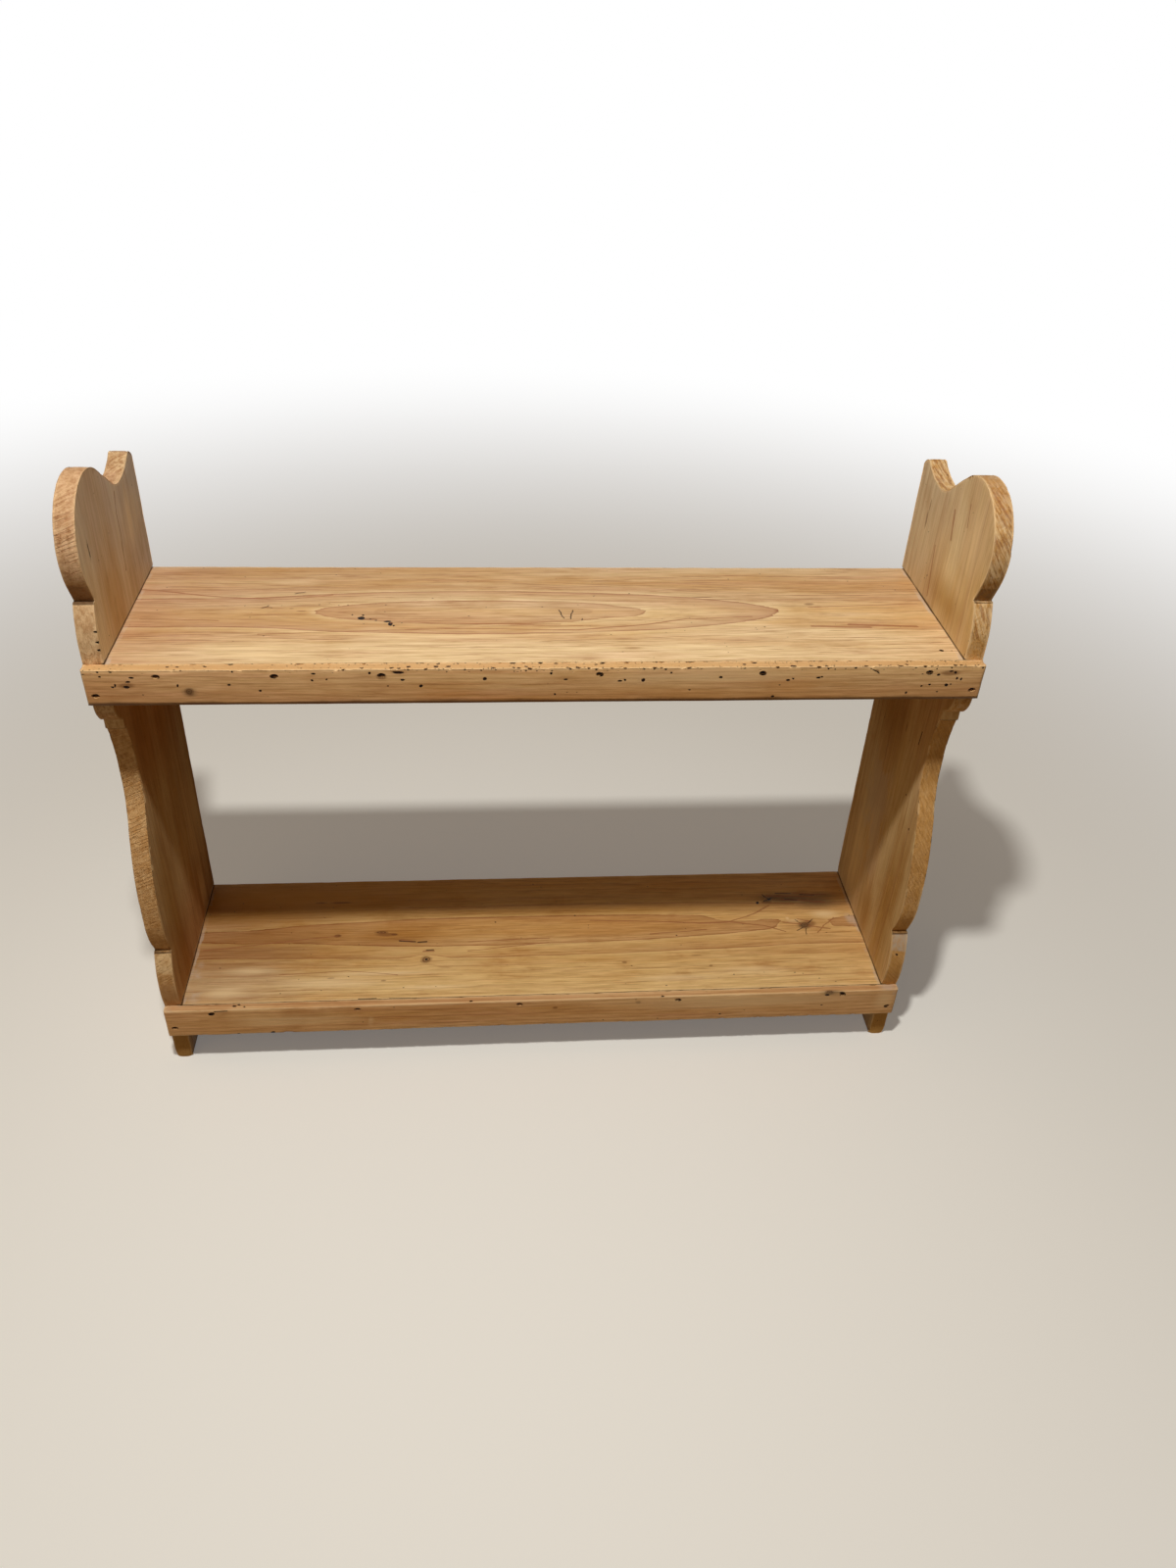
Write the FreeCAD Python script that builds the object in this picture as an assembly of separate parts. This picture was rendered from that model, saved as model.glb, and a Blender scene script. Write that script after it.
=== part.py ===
import FreeCAD, Part
import math
import os

# A two-tier dairy shelf in old pine: two sawn ends, two housed shelves, two front lips and cut nails.
# Millimetres. +Z is up, the front faces -Y, and +X is to the right for someone who faces the front.
# The origin is on the floor, under the middle of the whole shelf.

os.makedirs("parts", exist_ok=True)
Vector = FreeCAD.Vector

# Overall sizes
overall_width = 1016.0
end_thickness = 22.5
end_depth = 251.0                # from the lower lip's seat to the wall edge

# Shelf boards, each let into a groove across both ends
shelf_thickness = 22.0
lower_shelf_top = 103.0
upper_shelf_top = 631.0
housing_depth = 6.0
lower_back_gap = 2.0             # how far the board stops short of the wall edge
upper_back_gap = 4.0

# Front lips, flush with the shelf tops and with the outer faces of the ends
lower_lip_height = 48.0
lower_lip_thickness = 12.5
upper_lip_height = 46.5
upper_lip_thickness = 14.5
upper_seat_setback = 2.5         # the upper lip's seat lies this far behind the lower one's
lip_corner_radius = 3.5          # worn upright corners
lip_chamfer_height = 5.0         # along the upper lip's bottom edge
lip_chamfer_depth = 3.0

# Top of an end: a horn at the wall, a cove, and a round lobe over the front
lobe_rise = 191.5                # from the upper shelf's top to the top of the lobe
lobe_radius = 70.0
lobe_setback = 1.5
lobe_end_angle = 26.5            # degrees below level where the lobe's round turns straight
lobe_tail = 25.0                 # straight run from there to the notch
cove_slope = 37.0                # degrees of fall of the straight run from the lobe into the cove
cove_front_radius = 46.0
cove_drop = 54.5                 # from the top of the lobe to the bottom of the cove
horn_rise = 15.3                 # from the bottom of the cove to the horn's tip
horn_width = 17.0
horn_nose_drop = 10.0

# Front edge of an end, from the upper notch to the floor
ledge_depth = 4.5                # the small ledge under each notch
upper_neck_flat = 17.0           # straight part above the upper shelf
seat_margin = 2.5                # straight part below the upper lip
ovolo_height = 36.0
ovolo_depth = 21.5
fillet_height = 13.0
fillet_step = 3.0
hollow_depth = 40.5              # from the belly's front to the deepest point of the hollow
belly_overhang = 3.5             # how far the belly stands in front of the lower lip's seat
belly_underside_height = 49.0
lower_notch_depth = 12.0
lower_neck_height = 92.0
lower_neck_overhang = 5.0

# Shares of the sizes above, chosen by hand
horn_nose_shares = (0.66, 0.30)                   # along the horn's width, down its nose
ovolo_shares = (0.33, 0.68)                       # back and down, at the middle of the curve
hollow_shares = (                                 # back from the belly's front, up from the belly
    (0.951, 0.906),
    (1.000, 0.770),
    (0.926, 0.627),
    (0.664, 0.523),
    (0.383, 0.408),
    (0.126, 0.268),
    (0.012, 0.139),
    (0.000, 0.000),
)
underside_shares = (0.30, 0.53)                   # back from the belly, up from the notch
lower_neck_share = 0.51                           # height of its foremost point above the shelf

# Cut nails: flat tapered shanks, driven below the surface
nail_length = 50.0
nail_width = 6.0
nail_thickness = 3.2
nail_tip_width = 2.5
punch_depth = 2.5
upper_nail_drop = 8.0            # below the shelf's top
lower_nail_drop = 6.5
end_nail_drop = 32.0
upper_nail_shares = (-0.844, -0.594, -0.364, 0.114, 0.482, 0.868)    # of half the overall width
lower_nail_shares = (-0.875, -0.492, -0.057, 0.379, 0.841)
housing_nail_shares = (0.16, 0.50, 0.84)                             # of the shelf board's depth

overrun = 5.0                    # how far cutting shapes reach past the wood

half_width = overall_width / 2
inner_half_width = half_width - end_thickness
front_reach = max(lower_lip_thickness, upper_lip_thickness - upper_seat_setback)
middle_depth = (end_depth - front_reach) / 2

left, up, back = Vector(-1, 0, 0), Vector(0, 0, 1), Vector(0, 1, 0)
right = -left


def point(depth, height, across=0.0):
    """A point from its distance behind the lower lip's seat and its height above the floor."""
    return Vector(across, depth - middle_depth, height)


def straight(start, finish):
    return Part.LineSegment(start, finish).toShape()


def round_through(start, middle, finish):
    return Part.Arc(start, middle, finish).toShape()


def smooth_through(points, last_direction):
    """One smooth curve through the points that arrives in the given direction."""
    curve = Part.BSplineCurve()
    first_direction = (points[1] - points[0]).normalize()
    curve.interpolate(Points=points, InitialTangent=first_direction, FinalTangent=last_direction)
    return curve.toShape()


def on_circle(centre, radius, angle):
    """A point on a circle in the plane of an end, its angle in radians up from level at the back."""
    return centre + back * (radius * math.cos(angle)) + up * (radius * math.sin(angle))


def box(low_depth, high_depth, low_height, high_height, half_length):
    """A board that lies evenly about the middle, from its depths, heights and half length."""
    size = (2 * half_length, high_depth - low_depth, high_height - low_height)
    return Part.makeBox(*size, point(low_depth, low_height, -half_length))


def top_of_end():
    """The edges from the wall edge over the horn, the cove and the lobe to the upper notch."""
    lobe_centre = point(lobe_setback + lobe_radius, upper_shelf_top + lobe_rise - lobe_radius)
    fall = math.radians(cove_slope)

    # A straight run falls from the lobe to the cove's front round, which ends level in the valley.
    valley_height = upper_shelf_top + lobe_rise - cove_drop
    touch_height = valley_height + cove_front_radius * (1 - math.cos(fall))
    lobe_touch = on_circle(lobe_centre, lobe_radius, math.pi / 2 - fall)
    cove_touch = Vector(0, lobe_touch.y + (lobe_touch.z - touch_height) / math.tan(fall), touch_height)
    valley = Vector(0, cove_touch.y + cove_front_radius * math.sin(fall), valley_height)
    front_centre = valley + up * cove_front_radius
    cove_middle = on_circle(front_centre, cove_front_radius, -(math.pi + fall) / 2)

    # The cove's back round rises from the valley to the tip of the horn.
    tip = point(end_depth - horn_width, valley_height + horn_rise)
    reach = tip.y - valley.y
    back_radius = (reach ** 2 + horn_rise ** 2) / (2 * horn_rise)
    sweep = math.atan2(reach, back_radius - horn_rise)
    rise_middle = on_circle(valley + up * back_radius, back_radius, (sweep - math.pi) / 2)
    nose = tip + back * horn_width - up * horn_nose_drop
    across_share, drop_share = horn_nose_shares
    nose_middle = tip + back * (across_share * horn_width) - up * (drop_share * horn_nose_drop)

    # The lobe's round turns straight below and runs on to the notch.
    end_angle = math.pi + math.radians(lobe_end_angle)
    lobe_end = on_circle(lobe_centre, lobe_radius, end_angle)
    lobe_middle = on_circle(lobe_centre, lobe_radius, (math.pi / 2 - fall + end_angle) / 2)
    notch = lobe_end + on_circle(Vector(), lobe_tail, end_angle + math.pi / 2)

    edges = [
        round_through(nose, nose_middle, tip),
        round_through(tip, rise_middle, valley),
        round_through(valley, cove_middle, cove_touch),
        straight(cove_touch, lobe_touch),
        round_through(lobe_touch, lobe_middle, lobe_end),
        straight(lobe_end, notch),
    ]
    return nose, notch, edges


def neck_round(ledge, foot):
    """The round of the upper neck: it starts on the ledge and runs out upright at its foot."""
    step = ledge - foot
    radius = (step.y ** 2 + step.z ** 2) / (2 * step.y)
    angle = math.asin(step.z / radius)
    centre = foot + back * radius
    return round_through(ledge, on_circle(centre, radius, math.pi - angle / 2), foot)


def front_of_end(notch):
    """The edges from the upper notch down to the floor."""
    ledge = notch - back * ledge_depth
    neck_foot = point(upper_seat_setback, upper_shelf_top + upper_neck_flat)

    ovolo_top = point(upper_seat_setback, upper_shelf_top - upper_lip_height - seat_margin)
    ovolo_end = ovolo_top + back * ovolo_depth - up * ovolo_height
    back_share, down_share = ovolo_shares
    ovolo_middle = ovolo_top + back * (back_share * ovolo_depth) - up * (down_share * ovolo_height)
    fillet_end = ovolo_end - up * fillet_height

    lower_notch = point(lower_notch_depth, lower_shelf_top + lower_neck_height)
    belly = point(-belly_overhang, lower_notch.z + belly_underside_height)
    hollow_height = fillet_end.z - belly.z
    hollow_start = fillet_end + back * fillet_step
    hollow = [hollow_start]
    for back_share, up_share in hollow_shares:
        hollow.append(belly + back * (back_share * hollow_depth) + up * (up_share * hollow_height))
    back_share, up_share = underside_shares
    belly_to_notch = lower_notch.y - belly.y
    underside_middle = Vector(0, belly.y + back_share * belly_to_notch,
                              lower_notch.z + up_share * belly_underside_height)

    lower_ledge = lower_notch - back * ledge_depth
    neck_end = point(0, lower_shelf_top)
    neck_middle = point(-lower_neck_overhang, lower_shelf_top + lower_neck_share * lower_neck_height)

    return [
        straight(notch, ledge),
        neck_round(ledge, neck_foot),
        straight(neck_foot, ovolo_top),
        round_through(ovolo_top, ovolo_middle, ovolo_end),
        straight(ovolo_end, fillet_end),
        straight(fillet_end, hollow_start),
        smooth_through(hollow, -up),
        round_through(belly, underside_middle, lower_notch),
        straight(lower_notch, lower_ledge),
        round_through(lower_ledge, neck_middle, neck_end),
        straight(neck_end, point(0, 0)),
    ]


def end_board(inner_face):
    """A sawn end, with its inner face at the given place across, and a groove for each shelf."""
    nose, notch, edges = top_of_end()
    edges += front_of_end(notch)
    edges.append(straight(point(0, 0), point(end_depth, 0)))
    edges.append(straight(point(end_depth, 0), nose))
    outward = 1 if inner_face > 0 else -1
    outline = Part.Face(Part.Wire(Part.sortEdges(edges)[0]))
    outline.translate(Vector(inner_face, 0, 0))
    board = outline.extrude(Vector(outward * end_thickness, 0, 0))
    grooves = []
    for top in (lower_shelf_top, upper_shelf_top):
        grooves.append(box(-overrun, end_depth + overrun, top - shelf_thickness, top,
                           inner_half_width + housing_depth))
    return board.cut(grooves)


def shelf_board(seat, back_gap, top):
    """A shelf from its lip's seat towards the wall, its two ends let into the grooves."""
    return box(seat, end_depth - back_gap, top - shelf_thickness, top, inner_half_width + housing_depth)


def front_lip(seat, thickness, height, top):
    """A lip on its seat, with its two upright front corners worn round."""
    lip = box(seat - thickness, seat, top - height, top, half_width)
    corners = []
    for edge in lip.Edges:
        at_front = edge.CenterOfMass.y < point(seat - thickness / 2, 0).y
        upright = abs(edge.tangentAt(edge.FirstParameter).z) > 0.5
        if at_front and upright:
            corners.append(edge)
    return lip.makeFillet(lip_corner_radius, corners)


def bottom_chamfer():
    """The wedge that is planed off the upper lip's bottom front edge."""
    front = upper_seat_setback - upper_lip_thickness
    bottom = upper_shelf_top - upper_lip_height
    slope = lip_chamfer_depth / lip_chamfer_height
    corners = [
        point(front + lip_chamfer_depth + slope * overrun, bottom - overrun, -half_width - overrun),
        point(front - slope * overrun, bottom + lip_chamfer_height + overrun, -half_width - overrun),
        point(front - slope * overrun - overrun, bottom - overrun, -half_width - overrun),
    ]
    wedge = Part.Face(Part.makePolygon(corners + corners[:1]))
    return wedge.extrude(right * (overall_width + 2 * overrun))


def flat_bar(profile, side):
    """A bar of the nail's thickness from an outline in its middle plane."""
    face = Part.Face(Part.makePolygon(profile + profile[:1]))
    face.translate(side * (-nail_thickness / 2))
    return face.extrude(side * nail_thickness)


def tapered_shank(head, drive, broad):
    """The four corners of a nail's outline, from its head to its tip."""
    tip = head + drive * nail_length
    return [
        head + broad * (nail_width / 2),
        tip + broad * (nail_tip_width / 2),
        tip - broad * (nail_tip_width / 2),
        head - broad * (nail_width / 2),
    ]


def cut_nail(entry, drive, broad):
    """A nail whose head lies below the surface at the point of entry."""
    return flat_bar(tapered_shank(entry + drive * punch_depth, drive, broad), drive.cross(broad))


def nail_hole(entry, drive, broad):
    """The space that a nail and the punch above its head take out of the wood."""
    mouth = entry - drive * overrun
    rim = [mouth - broad * (nail_width / 2), mouth + broad * (nail_width / 2)]
    shank = tapered_shank(entry + drive * punch_depth, drive, broad)
    return flat_bar(rim + shank, drive.cross(broad))


class NailRow:
    """A few nails that are driven the same way, with the holes that they fill."""

    def __init__(self, entries, drive, broad):
        self.nails = Part.makeCompound([cut_nail(entry, drive, broad) for entry in entries])
        self.holes = [nail_hole(entry, drive, broad) for entry in entries]


def lip_nails(shares, seat, thickness, height):
    """Nails from a lip's front into the shelf behind it, broad along the lip."""
    entries = [point(seat - thickness, height, share * half_width) for share in shares]
    return NailRow(entries, back, right)


def lip_end_nails(seat, thickness, height):
    """A nail from each end of a lip into the front edge of the end behind it."""
    middle = half_width - end_thickness / 2
    entries = [point(seat - thickness, height, side * middle) for side in (-1, 1)]
    return NailRow(entries, back, right)


def housing_nails(seat, back_gap, top, drive):
    """Nails through an end into the shelf in its groove, broad along the end's upright grain."""
    board_depth = end_depth - back_gap - seat
    entries = []
    for share in housing_nail_shares:
        entries.append(point(seat + share * board_depth, top - shelf_thickness / 2, -drive.x * half_width))
    return NailRow(entries, drive, up)


def write(name, shape):
    shape.exportStep("parts/" + name + ".step")
    print(name, len(shape.Solids), round(shape.Volume))


# Nails
upper_row = lip_nails(upper_nail_shares, upper_seat_setback, upper_lip_thickness,
                      upper_shelf_top - upper_nail_drop)
lower_row = lip_nails(lower_nail_shares, 0, lower_lip_thickness, lower_shelf_top - lower_nail_drop)
upper_corners = lip_end_nails(upper_seat_setback, upper_lip_thickness, upper_shelf_top - end_nail_drop)
lower_corners = lip_end_nails(0, lower_lip_thickness, lower_shelf_top - end_nail_drop)
left_upper = housing_nails(upper_seat_setback, upper_back_gap, upper_shelf_top, right)
right_upper = housing_nails(upper_seat_setback, upper_back_gap, upper_shelf_top, left)
left_lower = housing_nails(0, lower_back_gap, lower_shelf_top, right)
right_lower = housing_nails(0, lower_back_gap, lower_shelf_top, left)

# Boards, each with the holes of the nails that pass through it
corner_holes = upper_corners.holes + lower_corners.holes
left_end = end_board(-inner_half_width).cut(corner_holes + left_upper.holes + left_lower.holes)
right_end = end_board(inner_half_width).cut(corner_holes + right_upper.holes + right_lower.holes)
upper_shelf = shelf_board(upper_seat_setback, upper_back_gap, upper_shelf_top)
upper_shelf = upper_shelf.cut(upper_row.holes + left_upper.holes + right_upper.holes)
lower_shelf = shelf_board(0, lower_back_gap, lower_shelf_top)
lower_shelf = lower_shelf.cut(lower_row.holes + left_lower.holes + right_lower.holes)
upper_lip = front_lip(upper_seat_setback, upper_lip_thickness, upper_lip_height, upper_shelf_top)
upper_lip = upper_lip.cut([bottom_chamfer()] + upper_row.holes + upper_corners.holes)
lower_lip = front_lip(0, lower_lip_thickness, lower_lip_height, lower_shelf_top)
lower_lip = lower_lip.cut(lower_row.holes + lower_corners.holes)

write("left_end", left_end)
write("right_end", right_end)
write("upper_shelf", upper_shelf)
write("lower_shelf", lower_shelf)
write("upper_front_lip", upper_lip)
write("lower_front_lip", lower_lip)
write("upper_lip_nails", upper_row.nails)
write("lower_lip_nails", lower_row.nails)
write("upper_lip_end_nails", upper_corners.nails)
write("lower_lip_end_nails", lower_corners.nails)
write("left_upper_housing_nails", left_upper.nails)
write("right_upper_housing_nails", right_upper.nails)
write("left_lower_housing_nails", left_lower.nails)
write("right_lower_housing_nails", right_lower.nails)
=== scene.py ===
import math

import bmesh
import bpy
from mathutils import Matrix, Vector, kdtree, noise


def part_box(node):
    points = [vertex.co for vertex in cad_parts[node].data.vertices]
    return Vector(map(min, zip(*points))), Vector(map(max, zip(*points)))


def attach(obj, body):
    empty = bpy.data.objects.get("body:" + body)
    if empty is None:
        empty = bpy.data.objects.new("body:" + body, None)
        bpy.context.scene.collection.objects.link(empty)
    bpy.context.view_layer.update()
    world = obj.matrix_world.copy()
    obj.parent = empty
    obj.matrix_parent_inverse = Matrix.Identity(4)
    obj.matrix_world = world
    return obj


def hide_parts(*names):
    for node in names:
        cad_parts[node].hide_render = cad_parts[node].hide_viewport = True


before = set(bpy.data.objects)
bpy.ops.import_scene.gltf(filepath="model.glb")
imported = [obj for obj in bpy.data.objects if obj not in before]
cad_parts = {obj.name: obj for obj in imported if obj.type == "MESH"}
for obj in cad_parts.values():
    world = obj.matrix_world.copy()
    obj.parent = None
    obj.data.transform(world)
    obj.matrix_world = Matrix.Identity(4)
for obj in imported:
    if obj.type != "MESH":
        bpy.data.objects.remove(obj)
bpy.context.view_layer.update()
mm = 0.001
print("frame loaded:", len(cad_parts), "nodes")


def tone(red, green, blue):
    # a colour, 0 to 255, as Blender's linear values
    return tuple(((value / 255 + 0.055) / 1.055) ** 2.4 for value in (red, green, blue)) + (1.0,)


# nodes

class Finish:
    # a material or world whose nodes are added and wired one by one

    def __init__(self, owner):
        owner.use_nodes = True
        self.owner = owner
        self.tree = owner.node_tree
        self.tree.nodes.clear()

    def put(self, socket, value):
        if isinstance(value, bpy.types.NodeSocket):
            self.tree.links.new(value, socket)
        else:
            socket.default_value = value

    def add(self, kind, inputs=None, **settings):
        made = self.tree.nodes.new("ShaderNode" + kind)
        for key, value in settings.items():
            setattr(made, key, value)
        for key, value in (inputs or {}).items():
            self.put(made.inputs[key], value)
        return made

    def calc(self, operation, first, second=0.0, third=0.0):
        return self.add("Math", {0: first, 1: second, 2: third}, operation=operation).outputs[0]

    def times(self, first, second):
        return self.calc("MULTIPLY", first, second)

    def less(self, first, second):
        return self.calc("SUBTRACT", first, second)

    def scaled(self, value, factor, offset):
        return self.calc("MULTIPLY_ADD", value, factor, offset)

    def most(self, shares):
        # the greatest share, taken one by one, so that the shader never holds many
        best = None
        for share in shares:
            best = share if best is None else self.calc("MAXIMUM", best, share)
        return best

    def move(self, operation, first, second):
        return self.add("VectorMath", {0: first, 1: second}, operation=operation).outputs[0]

    def split(self, vector):
        return self.add("SeparateXYZ", {0: vector}).outputs

    def length(self, vector):
        return self.add("VectorMath", {0: vector}, operation="LENGTH").outputs["Value"]

    def fade(self, value, start, end, low=0.0, high=1.0):
        inputs = {"Value": value, "From Min": start, "From Max": end, "To Min": low, "To Max": high}
        return self.add("MapRange", inputs, interpolation_type="SMOOTHSTEP", clamp=False).outputs[0]

    def grain(self, point, stretch, seed, detail=3.0, roughness=0.5):
        # noise with its own scale along each axis
        inputs = {"Vector": self.move("MULTIPLY", point, stretch), "W": seed, "Scale": 1.0,
                  "Detail": detail, "Roughness": roughness}
        return self.add("TexNoise", inputs, noise_dimensions="4D")

    def dots(self, point, stretch, seed, share, size):
        # scattered dots of different sizes; a share of the cells holds one
        spot = self.move("ADD", self.move("MULTIPLY", point, stretch), (seed, seed * 1.7, seed * 0.6))
        cells = self.add("TexVoronoi", {"Vector": spot, "Scale": 1.0}, feature="F1")
        chance = self.add("SeparateColor", {0: cells.outputs["Color"]}).outputs
        own = self.times(self.fade(chance[1], 0.0, 1.0, 0.45, 1.0), size)
        dot = self.fade(self.calc("DIVIDE", cells.outputs["Distance"], own), 0.6, 1.0, 1.0, 0.0)
        return self.times(dot, self.calc("LESS_THAN", chance[0], share))

    def mix(self, share, first, second, way="MIX"):
        made = self.add("Mix", data_type="RGBA", blend_type=way)
        for index, value in ((0, share), (6, first), (7, second)):
            self.put(made.inputs[index], value)
        return made.outputs[2]

    def finish(self, inputs):
        shader = self.add("BsdfPrincipled", inputs)
        self.add("OutputMaterial", {"Surface": shader.outputs[0]})
        return self.owner


# pine

tones = {
    "butter": (247, 216, 168), "golden": (224, 180, 120), "amber": (208, 150, 80), "heart": (200, 152, 116),
    "latewood": (156, 98, 62), "patina": (176, 118, 62), "umber": (118, 72, 38), "honey": (216, 162, 92),
    "olive": (192, 150, 84), "rose": (214, 160, 126), "shadeBrown": (186, 156, 98), "ochre": (208, 146, 58),
    "tan": (212, 166, 112), "shade": (216, 198, 164), "dusk": (189, 157, 145), "dark": (34, 18, 9),
    "knot": (104, 62, 36), "smoke": (92, 70, 46), "cream": (236, 202, 158), "biscuit": (222, 186, 146),
    "caramel": (184, 136, 92), "fillerAndPaleLight": (204, 186, 168), "dirtAndShade": (66, 38, 18),
}
tones = {hue: tone(*parts) for hue, parts in tones.items()}

# each noise of a board: scale along it and the other two ways, shift of its seed, detail, roughness
noises = {
    "slow": (1.9, 5.0, 0, 2.0, 0.5), "quick": (14.0, 80.0, 1, 4.0, 0.6), "fibre": (18.0, 420.0, 2, 3.0, 0.65),
    "streak": (1.5, 50.0, 3, 7.0, 0.64), "broad": (1.6, 15.0, 4, 3.0, 0.55), "patch": (11.0, 17.0, 5, 4.0, 0.62),
    "ends": (75.0, 160.0, 6, 6.0, 0.78), "short": (16.0, 300.0, 9, 4.0, 0.7), "warmth": (6.0, 30.0, 10, 5.0, 0.62),
    "hair": (2.6, 62.0, 12, 4.0, 0.62), "tint": (3.5, 42.0, 13, 5.0, 0.62),
}

# lengths in metres, and strengths
surface = {
    "turnSoft": 0.08, "leastSlope": 0.04, "markDrift": (0.008, 0.006, 0.0), "lineWidth": 0.0034, "rimWidth": 0.01,
    "bandUneven": 0.016, "bandSoft": 0.002, "shadeZoneSoft": 0.006, "face": (-0.003, -0.001), "back": (0.1, 0.08),
    "worn": (0.0008, 0.0034), "wornUneven": 0.006, "wearDepth": 0.0009, "wearStrength": 0.6, "holeDepth": 0.002,
    "holeStrength": 0.8, "shine": 0.08, "cutRough": 0.15, "raspScale": (40.0, 40.0, 440.0),
}

# how deep a mark goes on each side of its level, in mm: into the face, or through the board
intoFace, throughBoard = 4.0, 30.0

# round marks: kind, tone, softness of the rim, share
# shades and warm shades are painted shade; pale patches and dusts are pale wood and dust, and in a few places painted
# light
markKinds = (
    ("shades", "shade", 1.0, 0.9), ("warmShades", "ochre", 1.0, 0.8), ("stains", "umber", 0.5, 0.6),
    ("smears", "smoke", 1.0, 0.85), ("paleWoodAndLight", "butter", 0.9, 0.6), ("dustAndPaintedLight", "fillerAndPaleLight", 0.8, 0.55),
    ("holes", "dark", 0.16, 1.0),
)
strokeKinds = (("grainLines", "latewood", 0.75), ("scratches", "dark", 0.9))


def pine(name, look):
    g = Finish(bpy.data.materials.new(name))
    here = g.add("TexCoord").outputs["Object"]
    normal = g.split(g.add("TexCoord").outputs["Normal"])
    fromFace = g.move("SUBTRACT", here, look["origin"])
    board = g.add("Mapping", {"Vector": fromFace, "Rotation": look["turn"]}, vector_type="POINT").outputs[0]
    place = g.split(board)
    seed = look["seed"]

    def noiseOf(kind, point, output="Fac"):
        lengthwise, crosswise, shift, detail, roughness = noises[kind]
        stretch = (lengthwise, crosswise, crosswise)
        return g.grain(point, stretch, seed + shift, detail, roughness).outputs[output]

    # the trunk wanders a little, and its rings are slightly ragged
    half = (0.5, 0.5, 0.5)
    slow = g.move("SUBTRACT", noiseOf("slow", board, "Color"), half)
    bent = g.move("ADD", board, g.move("MULTIPLY", slow, (0.0,) + look["wander"]))
    quick = g.move("SUBTRACT", noiseOf("quick", board, "Color"), half)
    trunk = g.split(g.move("ADD", bent, g.move("MULTIPLY", quick, (0.0,) + look["ragged"])))

    # annual rings round a pith below the face; where it comes near, the face shows tongues
    along = g.less(trunk[0], look["tongueMiddle"])
    if "turnBack" in look:
        # past these places the pith rises again, so the outer rings open towards the ends of the board
        right, rightShare, left, leftShare = look["turnBack"]
        back = g.scaled(along, -rightShare, right * (1 + rightShare))
        along = g.calc("SMOOTH_MIN", along, back, surface["turnSoft"])
        back = g.scaled(along, -leftShare, -left * (1 + leftShare))
        along = g.calc("SMOOTH_MAX", along, back, surface["turnSoft"])
    depth = g.scaled(g.times(along, along), look["tongueCurve"], look["pithDepth"])
    across = g.less(trunk[1], look["pithPlace"])
    below = g.calc("ADD", trunk[2], depth)
    ring = g.length(g.add("CombineXYZ", {0: across, 1: below}).outputs[0])
    rise = g.times(g.times(along, 2.0 * look["tongueCurve"]), below)
    slope = g.calc("DIVIDE", g.length(g.add("CombineXYZ", {0: across, 1: rise}).outputs[0]), ring)
    slope = g.calc("MAXIMUM", slope, surface["leastSlope"])

    # the marks are a little ragged too
    spots = g.move("ADD", board, g.move("MULTIPLY", quick, surface["markDrift"]))

    def reach(x, y, halfLength, halfWidth, level=0.0, deep=intoFace):
        # distance to an oval mark, in half sizes; its level is below the face
        away = g.move("SUBTRACT", spots, (x * mm, y * mm, -level * mm))
        return g.length(g.move("MULTIPLY", away, [1 / (size * mm) for size in (halfLength, halfWidth, deep)]))

    def stroke(x0, y0, x1, y1, halfWidth):
        # distance to a straight mark, in half widths
        run = Vector(((x1 - x0) * mm, (y1 - y0) * mm, 0.0))
        away = g.move("SUBTRACT", spots, (x0 * mm, y0 * mm, 0.0))
        share = g.add("VectorMath", {0: away, 1: run / run.length_squared}, operation="DOT_PRODUCT").outputs["Value"]
        share = g.add("Clamp", {0: share}).outputs[0]
        nearest = g.add("VectorMath", {0: tuple(run), "Scale": share}, operation="SCALE").outputs[0]
        return g.times(g.length(g.move("SUBTRACT", away, nearest)), 1 / (halfWidth * mm))

    # knots push the rings aside, and the rings bend in a few other places too
    knots = []
    for x, y, halfLength, halfWidth, lift in look.get("knots", ()):
        wide = reach(x, y, halfLength * 5.0, halfWidth * 3.0, deep=throughBoard)
        ring = g.calc("ADD", ring, g.fade(wide, 0.0, 1.0, lift * mm, 0.0))
        near = reach(x, y, halfLength, halfWidth)
        eye = g.calc("SINE", g.times(near, 14.0))
        knots.append(g.times(g.fade(near, 0.6, 1.2, 1.0, 0.0), g.fade(eye, -1.0, 1.0, 0.55, 1.0)))
    for x, y, halfLength, halfWidth, lift in look.get("bends", ()):
        bend = g.fade(reach(x, y, halfLength, halfWidth, deep=throughBoard), 0.0, 1.0, lift * mm, 0.0)
        ring = g.calc("ADD", ring, bend)

    # fibres, streaks and the patchy old wax
    alongGrain = ("fibre", "streak", "short", "tint", "broad", "warmth", "hair")
    fibre, streak, short, tint, broad, warmth, hair = (noiseOf(kind, bent) for kind in alongGrain)
    hair = g.fade(g.calc("ABSOLUTE", g.less(hair, 0.5)), 0.01, 0.026, 1.0, 0.0)
    hair = g.times(hair, g.fade(short, 0.4, 0.6, 0.25, 1.0))
    patch = noiseOf("patch", board)
    uneven = g.less(patch, 0.5)

    # each ring has its own strength: a gradual late part, a dark line at its end, a pale rim after it
    count = g.calc("DIVIDE", g.less(ring, look["ringEdge"] * mm), look["ring"] * mm)
    part = g.calc("FRACT", count)
    chance = g.add("TexWhiteNoise", {"W": g.calc("ADD", g.calc("FLOOR", count), seed * 7.3)}, noise_dimensions="1D")
    strength = g.fade(chance.outputs["Value"], 0.0, 1.0, look["weakest"], 1.0)
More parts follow.
